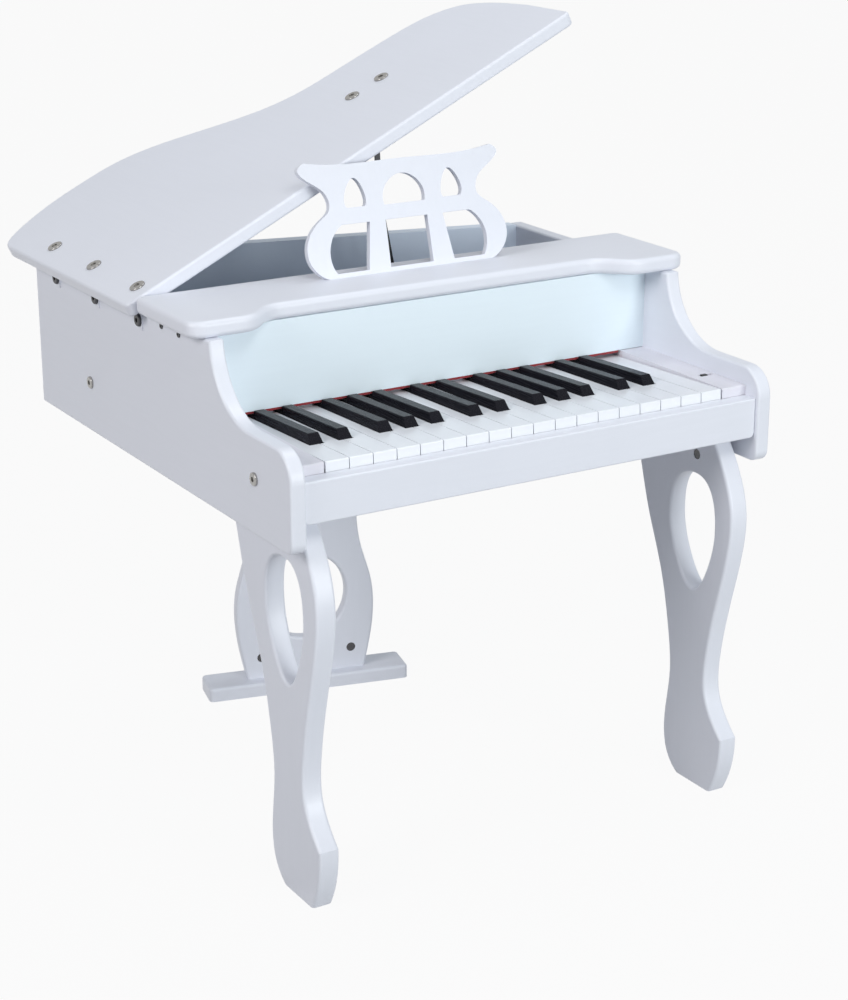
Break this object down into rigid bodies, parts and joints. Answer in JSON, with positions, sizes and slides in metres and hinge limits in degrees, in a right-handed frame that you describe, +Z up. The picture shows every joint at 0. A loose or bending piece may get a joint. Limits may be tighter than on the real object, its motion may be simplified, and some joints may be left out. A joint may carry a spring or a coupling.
{
  "type": "toy grand piano",
  "caption": "Child's electronic grand piano in white painted wood: slanted case, lid on a folding stay, cut-out music stand, hinged keys, cabriole board legs and a footed rear leg",
  "frame": {"origin": "on the floor, under the middle of the piano's plan", "axes": "+Z up, +Y from the keyboard to the tail, +X to the player's right"},
  "size_m": [0.5428, 0.6024, 0.7341],
  "materials": {
    "painted_wood": "board with satin white paint",
    "white_key_plastic": "glossy white",
    "black_key_plastic": "glossy black",
    "nickel_steel": "nickel plated",
    "dark_steel": "dark zinc plated",
    "painted_hinge": "painted with the case",
    "frame_plastic": "moulded black",
    "board_green": "solder mask",
    "grey_rubber": "moulded silicone",
    "red_felt": "pressed felt"
  },
  "bodies": {
    "case": {"back_panel": "painted_wood", "battery_tray": "frame_plastic", "bottom_board": "painted_wood", "cheek_blocks": "painted_wood", "circuit_board": "board_green", "connector_fittings": "nickel_steel", "fallboard": "painted_wood", "front_leg_left": "painted_wood", "front_leg_right": "painted_wood", "hinge_case_leaves": "painted_hinge", "key_felt": "red_felt", "key_frame": "frame_plastic", "key_slip": "painted_wood", "left_side_panel": "painted_wood", "music_shelf": "painted_wood", "rear_foot_bar": "painted_wood", "rear_leg": "painted_wood", "right_side_panel": "painted_wood", "rubber_contacts": "grey_rubber", "side_screws": "dark_steel", "speaker": "frame_plastic", "stay_foot_bracket": "dark_steel"},
    "lid_assembly": {"lid": "painted_wood", "lid_bolts": "nickel_steel", "hinge_lid_leaves": "painted_hinge", "stay_lid_bracket": "dark_steel"},
    "upper_link": {"stay_upper_link": "dark_steel"},
    "lower_link": {"stay_lower_link": "dark_steel"},
    "stand": {"music_stand": "painted_wood"},
    "switch": {"power_switch": "black_key_plastic"},
    "white_key_01_c_body": {"white_key_01_c": "white_key_plastic"},
    "white_key_02_d_body": {"white_key_02_d": "white_key_plastic"},
    "white_key_03_e_body": {"white_key_03_e": "white_key_plastic"},
    "white_key_04_f_body": {"white_key_04_f": "white_key_plastic"},
    "white_key_05_g_body": {"white_key_05_g": "white_key_plastic"},
    "white_key_06_a_body": {"white_key_06_a": "white_key_plastic"},
    "white_key_07_b_body": {"white_key_07_b": "white_key_plastic"},
    "white_key_08_c_body": {"white_key_08_c": "white_key_plastic"},
    "white_key_09_d_body": {"white_key_09_d": "white_key_plastic"},
    "white_key_10_e_body": {"white_key_10_e": "white_key_plastic"},
    "white_key_11_f_body": {"white_key_11_f": "white_key_plastic"},
    "white_key_12_g_body": {"white_key_12_g": "white_key_plastic"},
    "white_key_13_a_body": {"white_key_13_a": "white_key_plastic"},
    "white_key_14_b_body": {"white_key_14_b": "white_key_plastic"},
    "white_key_15_c_body": {"white_key_15_c": "white_key_plastic"},
    "white_key_16_d_body": {"white_key_16_d": "white_key_plastic"},
    "white_key_17_e_body": {"white_key_17_e": "white_key_plastic"},
    "white_key_18_f_body": {"white_key_18_f": "white_key_plastic"},
    "black_key_01_c_sharp_body": {"black_key_01_c_sharp": "black_key_plastic"},
    "black_key_02_d_sharp_body": {"black_key_02_d_sharp": "black_key_plastic"},
    "black_key_03_f_sharp_body": {"black_key_03_f_sharp": "black_key_plastic"},
    "black_key_04_g_sharp_body": {"black_key_04_g_sharp": "black_key_plastic"},
    "black_key_05_a_sharp_body": {"black_key_05_a_sharp": "black_key_plastic"},
    "black_key_06_c_sharp_body": {"black_key_06_c_sharp": "black_key_plastic"},
    "black_key_07_d_sharp_body": {"black_key_07_d_sharp": "black_key_plastic"},
    "black_key_08_f_sharp_body": {"black_key_08_f_sharp": "black_key_plastic"},
    "black_key_09_g_sharp_body": {"black_key_09_g_sharp": "black_key_plastic"},
    "black_key_10_a_sharp_body": {"black_key_10_a_sharp": "black_key_plastic"},
    "black_key_11_c_sharp_body": {"black_key_11_c_sharp": "black_key_plastic"},
    "black_key_12_d_sharp_body": {"black_key_12_d_sharp": "black_key_plastic"}
  },
  "joints": [
    {"name": "lid_hinge", "type": "hinge", "parent": "case", "child": "lid_assembly", "pos_m": [-0.2564, 0.091, 0.494], "axis": [0, 1, 0], "range_deg": [0, 25.8]},
    {"name": "music_stand_lift", "type": "slide", "parent": "case", "child": "stand", "axis": [0, 0.2504, 0.9681], "range_m": [0, 0.012]},
    {"name": "power_switch_slide", "type": "slide", "parent": "case", "child": "switch", "axis": [1, 0, 0], "range_m": [0, 0.004]},
    {"name": "stay_upper_pivot", "type": "hinge", "parent": "lid_assembly", "child": "upper_link", "pos_m": [0.05611, 0.092, 0.63885], "axis": [0, 1, 0], "range_deg": [0, 67.62]},
    {"name": "stay_lower_pivot", "type": "hinge", "parent": "case", "child": "lower_link", "pos_m": [0.091, 0.092, 0.391], "axis": [0, 1, 0], "range_deg": [-36.06, 0]},
    {"name": "white_key_01_c_press", "type": "hinge", "parent": "case", "child": "white_key_01_c_body", "pos_m": [0, -0.086, 0.4], "axis": [1, 0, 0], "range_deg": [0, 2.1], "stiffness_Nm_per_rad": 0.6, "springref_deg": -5.73},
    {"name": "white_key_02_d_press", "type": "hinge", "parent": "case", "child": "white_key_02_d_body", "pos_m": [0, -0.086, 0.4], "axis": [1, 0, 0], "range_deg": [0, 2.1], "stiffness_Nm_per_rad": 0.6, "springref_deg": -5.73},
    {"name": "white_key_03_e_press", "type": "hinge", "parent": "case", "child": "white_key_03_e_body", "pos_m": [0, -0.086, 0.4], "axis": [1, 0, 0], "range_deg": [0, 2.1], "stiffness_Nm_per_rad": 0.6, "springref_deg": -5.73},
    {"name": "white_key_04_f_press", "type": "hinge", "parent": "case", "child": "white_key_04_f_body", "pos_m": [0, -0.086, 0.4], "axis": [1, 0, 0], "range_deg": [0, 2.1], "stiffness_Nm_per_rad": 0.6, "springref_deg": -5.73},
    {"name": "white_key_05_g_press", "type": "hinge", "parent": "case", "child": "white_key_05_g_body", "pos_m": [0, -0.086, 0.4], "axis": [1, 0, 0], "range_deg": [0, 2.1], "stiffness_Nm_per_rad": 0.6, "springref_deg": -5.73},
    {"name": "white_key_06_a_press", "type": "hinge", "parent": "case", "child": "white_key_06_a_body", "pos_m": [0, -0.086, 0.4], "axis": [1, 0, 0], "range_deg": [0, 2.1], "stiffness_Nm_per_rad": 0.6, "springref_deg": -5.73},
    {"name": "white_key_07_b_press", "type": "hinge", "parent": "case", "child": "white_key_07_b_body", "pos_m": [0, -0.086, 0.4], "axis": [1, 0, 0], "range_deg": [0, 2.1], "stiffness_Nm_per_rad": 0.6, "springref_deg": -5.73},
    {"name": "white_key_08_c_press", "type": "hinge", "parent": "case", "child": "white_key_08_c_body", "pos_m": [0, -0.086, 0.4], "axis": [1, 0, 0], "range_deg": [0, 2.1], "stiffness_Nm_per_rad": 0.6, "springref_deg": -5.73},
    {"name": "white_key_09_d_press", "type": "hinge", "parent": "case", "child": "white_key_09_d_body", "pos_m": [0, -0.086, 0.4], "axis": [1, 0, 0], "range_deg": [0, 2.1], "stiffness_Nm_per_rad": 0.6, "springref_deg": -5.73},
    {"name": "white_key_10_e_press", "type": "hinge", "parent": "case", "child": "white_key_10_e_body", "pos_m": [0, -0.086, 0.4], "axis": [1, 0, 0], "range_deg": [0, 2.1], "stiffness_Nm_per_rad": 0.6, "springref_deg": -5.73},
    {"name": "white_key_11_f_press", "type": "hinge", "parent": "case", "child": "white_key_11_f_body", "pos_m": [0, -0.086, 0.4], "axis": [1, 0, 0], "range_deg": [0, 2.1], "stiffness_Nm_per_rad": 0.6, "springref_deg": -5.73},
    {"name": "white_key_12_g_press", "type": "hinge", "parent": "case", "child": "white_key_12_g_body", "pos_m": [0, -0.086, 0.4], "axis": [1, 0, 0], "range_deg": [0, 2.1], "stiffness_Nm_per_rad": 0.6, "springref_deg": -5.73},
    {"name": "white_key_13_a_press", "type": "hinge", "parent": "case", "child": "white_key_13_a_body", "pos_m": [0, -0.086, 0.4], "axis": [1, 0, 0], "range_deg": [0, 2.1], "stiffness_Nm_per_rad": 0.6, "springref_deg": -5.73},
    {"name": "white_key_14_b_press", "type": "hinge", "parent": "case", "child": "white_key_14_b_body", "pos_m": [0, -0.086, 0.4], "axis": [1, 0, 0], "range_deg": [0, 2.1], "stiffness_Nm_per_rad": 0.6, "springref_deg": -5.73},
    {"name": "white_key_15_c_press", "type": "hinge", "parent": "case", "child": "white_key_15_c_body", "pos_m": [0, -0.086, 0.4], "axis": [1, 0, 0], "range_deg": [0, 2.1], "stiffness_Nm_per_rad": 0.6, "springref_deg": -5.73},
    {"name": "white_key_16_d_press", "type": "hinge", "parent": "case", "child": "white_key_16_d_body", "pos_m": [0, -0.086, 0.4], "axis": [1, 0, 0], "range_deg": [0, 2.1], "stiffness_Nm_per_rad": 0.6, "springref_deg": -5.73},
    {"name": "white_key_17_e_press", "type": "hinge", "parent": "case", "child": "white_key_17_e_body", "pos_m": [0, -0.086, 0.4], "axis": [1, 0, 0], "range_deg": [0, 2.1], "stiffness_Nm_per_rad": 0.6, "springref_deg": -5.73},
    {"name": "white_key_18_f_press", "type": "hinge", "parent": "case", "child": "white_key_18_f_body", "pos_m": [0, -0.086, 0.4], "axis": [1, 0, 0], "range_deg": [0, 2.1], "stiffness_Nm_per_rad": 0.6, "springref_deg": -5.73},
    {"name": "black_key_01_c_sharp_press", "type": "hinge", "parent": "case", "child": "black_key_01_c_sharp_body", "pos_m": [0, -0.086, 0.4], "axis": [1, 0, 0], "range_deg": [0, 2.1], "stiffness_Nm_per_rad": 0.6, "springref_deg": -5.73},
    {"name": "black_key_02_d_sharp_press", "type": "hinge", "parent": "case", "child": "black_key_02_d_sharp_body", "pos_m": [0, -0.086, 0.4], "axis": [1, 0, 0], "range_deg": [0, 2.1], "stiffness_Nm_per_rad": 0.6, "springref_deg": -5.73},
    {"name": "black_key_03_f_sharp_press", "type": "hinge", "parent": "case", "child": "black_key_03_f_sharp_body", "pos_m": [0, -0.086, 0.4], "axis": [1, 0, 0], "range_deg": [0, 2.1], "stiffness_Nm_per_rad": 0.6, "springref_deg": -5.73},
    {"name": "black_key_04_g_sharp_press", "type": "hinge", "parent": "case", "child": "black_key_04_g_sharp_body", "pos_m": [0, -0.086, 0.4], "axis": [1, 0, 0], "range_deg": [0, 2.1], "stiffness_Nm_per_rad": 0.6, "springref_deg": -5.73},
    {"name": "black_key_05_a_sharp_press", "type": "hinge", "parent": "case", "child": "black_key_05_a_sharp_body", "pos_m": [0, -0.086, 0.4], "axis": [1, 0, 0], "range_deg": [0, 2.1], "stiffness_Nm_per_rad": 0.6, "springref_deg": -5.73},
    {"name": "black_key_06_c_sharp_press", "type": "hinge", "parent": "case", "child": "black_key_06_c_sharp_body", "pos_m": [0, -0.086, 0.4], "axis": [1, 0, 0], "range_deg": [0, 2.1], "stiffness_Nm_per_rad": 0.6, "springref_deg": -5.73},
    {"name": "black_key_07_d_sharp_press", "type": "hinge", "parent": "case", "child": "black_key_07_d_sharp_body", "pos_m": [0, -0.086, 0.4], "axis": [1, 0, 0], "range_deg": [0, 2.1], "stiffness_Nm_per_rad": 0.6, "springref_deg": -5.73},
    {"name": "black_key_08_f_sharp_press", "type": "hinge", "parent": "case", "child": "black_key_08_f_sharp_body", "pos_m": [0, -0.086, 0.4], "axis": [1, 0, 0], "range_deg": [0, 2.1], "stiffness_Nm_per_rad": 0.6, "springref_deg": -5.73},
    {"name": "black_key_09_g_sharp_press", "type": "hinge", "parent": "case", "child": "black_key_09_g_sharp_body", "pos_m": [0, -0.086, 0.4], "axis": [1, 0, 0], "range_deg": [0, 2.1], "stiffness_Nm_per_rad": 0.6, "springref_deg": -5.73},
    {"name": "black_key_10_a_sharp_press", "type": "hinge", "parent": "case", "child": "black_key_10_a_sharp_body", "pos_m": [0, -0.086, 0.4], "axis": [1, 0, 0], "range_deg": [0, 2.1], "stiffness_Nm_per_rad": 0.6, "springref_deg": -5.73},
    {"name": "black_key_11_c_sharp_press", "type": "hinge", "parent": "case", "child": "black_key_11_c_sharp_body", "pos_m": [0, -0.086, 0.4], "axis": [1, 0, 0], "range_deg": [0, 2.1], "stiffness_Nm_per_rad": 0.6, "springref_deg": -5.73},
    {"name": "black_key_12_d_sharp_press", "type": "hinge", "parent": "case", "child": "black_key_12_d_sharp_body", "pos_m": [0, -0.086, 0.4], "axis": [1, 0, 0], "range_deg": [0, 2.1], "stiffness_Nm_per_rad": 0.6, "springref_deg": -5.73}
  ],
  "couplings": [
    {"joint": "stay_upper_pivot", "follows": "lid_hinge", "ratio": 2.6207},
    {"joint": "stay_lower_pivot", "follows": "lid_hinge", "ratio": -1.3974}
  ]
}
